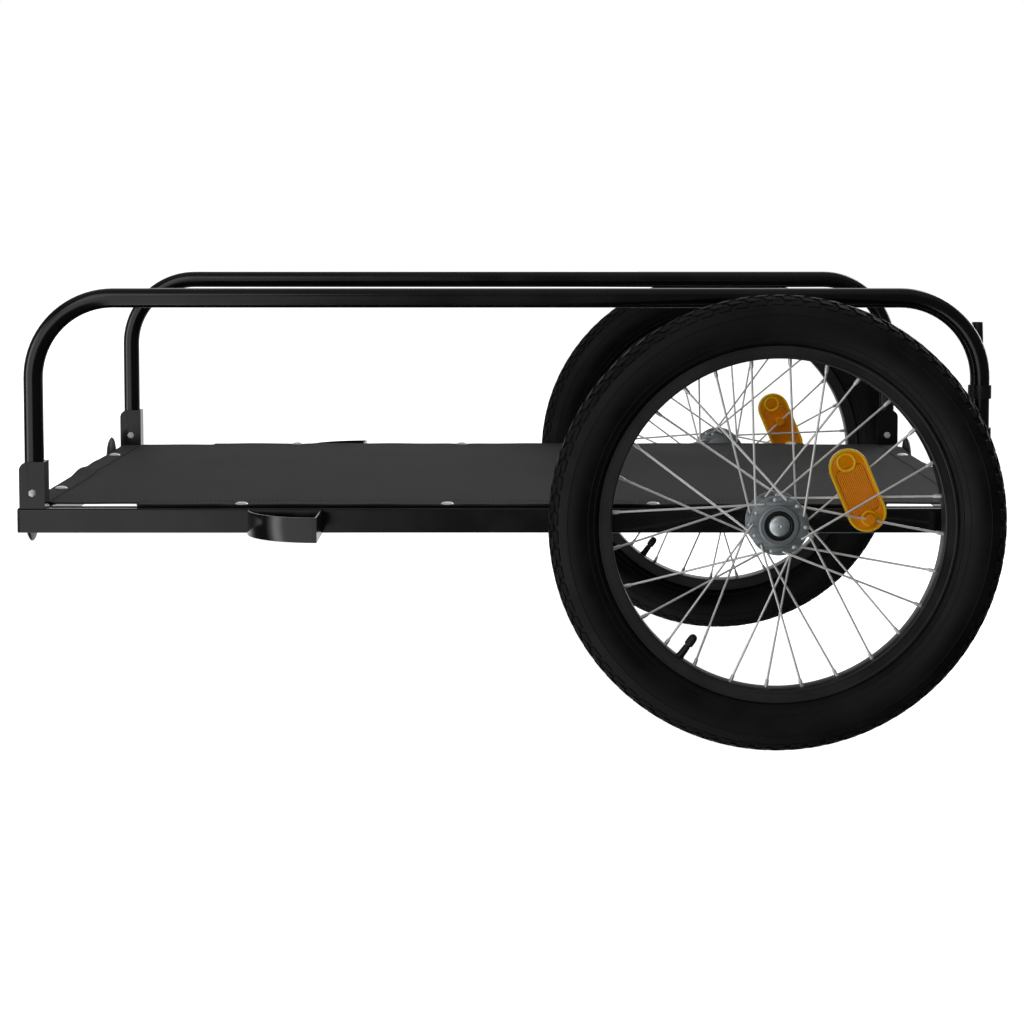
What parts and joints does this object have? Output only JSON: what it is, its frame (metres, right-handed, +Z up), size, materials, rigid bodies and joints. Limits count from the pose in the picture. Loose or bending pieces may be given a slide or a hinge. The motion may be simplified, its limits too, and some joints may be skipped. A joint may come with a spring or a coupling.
{
  "type": "bicycle cargo trailer",
  "caption": "Flat two-wheeled bicycle cargo trailer with a cloth deck on a square-tube frame, arched side rails, spoked wheels, wheel guards and reflectors.",
  "frame": {"origin": "middle of the bounding box on the ground", "axes": "+X towards the rear, -Y towards the left side, +Z up; parked nose down on its wheels and front reflectors"},
  "size_m": [0.8869, 0.726, 0.4337],
  "materials": {
    "frame_paint": "gloss black powder coat",
    "deck_cloth": "matt coated woven cloth",
    "tyre_rubber": "matt black rubber",
    "rim_paint": "satin black",
    "spoke_steel": "plated steel wire",
    "hub_zinc": "dull zinc plating",
    "axle_steel": "bright machined steel",
    "seal_rubber": "matt",
    "valve_rubber": "matt",
    "amber_lens": "ribbed translucent lens",
    "white_lens": "ribbed lens",
    "red_lens": "ribbed lens",
    "cup_plastic": "moulded",
    "plug_plastic": "moulded",
    "bolt_zinc": "bright zinc plating"
  },
  "bodies": {
    "chassis": {"left_side_rail": "frame_paint", "left_arch_rail": "frame_paint", "left_wheel_guard": "frame_paint", "left_axle": "axle_steel", "front_left_bracket": "frame_paint", "rear_left_bracket": "frame_paint", "right_side_rail": "frame_paint", "right_arch_rail": "frame_paint", "right_wheel_guard": "frame_paint", "right_axle": "axle_steel", "front_right_bracket": "frame_paint", "rear_right_bracket": "frame_paint", "front_crossbar": "frame_paint", "middle_crossbar": "frame_paint", "axle_crossbar": "frame_paint", "rear_crossbar": "frame_paint", "rail_end_plugs": "plug_plastic", "arch_bolts": "bolt_zinc", "deck_sheet": "deck_cloth", "flag_holder": "cup_plastic", "front_reflector_cups": "cup_plastic", "rear_reflector_cups": "cup_plastic", "front_reflector_lenses": "white_lens", "rear_reflector_lenses": "red_lens"},
    "left_wheel": {"left_tyre": "tyre_rubber", "left_rim": "rim_paint", "left_spokes": "spoke_steel", "left_hub": "hub_zinc", "left_hub_seal": "seal_rubber", "left_valve_stem": "valve_rubber", "left_spoke_reflector": "amber_lens"},
    "right_wheel": {"right_tyre": "tyre_rubber", "right_rim": "rim_paint", "right_spokes": "spoke_steel", "right_hub": "hub_zinc", "right_hub_seal": "seal_rubber", "right_valve_stem": "valve_rubber", "right_spoke_reflector": "amber_lens"}
  },
  "joints": [
    {"name": "left_wheel_spin", "type": "hinge", "parent": "chassis", "child": "left_wheel", "pos_m": [0.24099, -0.327, 0.2025], "axis": [0, 1, 0], "continuous": true},
    {"name": "right_wheel_spin", "type": "hinge", "parent": "chassis", "child": "right_wheel", "pos_m": [0.24099, 0.327, 0.2025], "axis": [0, 1, 0], "continuous": true}
  ]
}
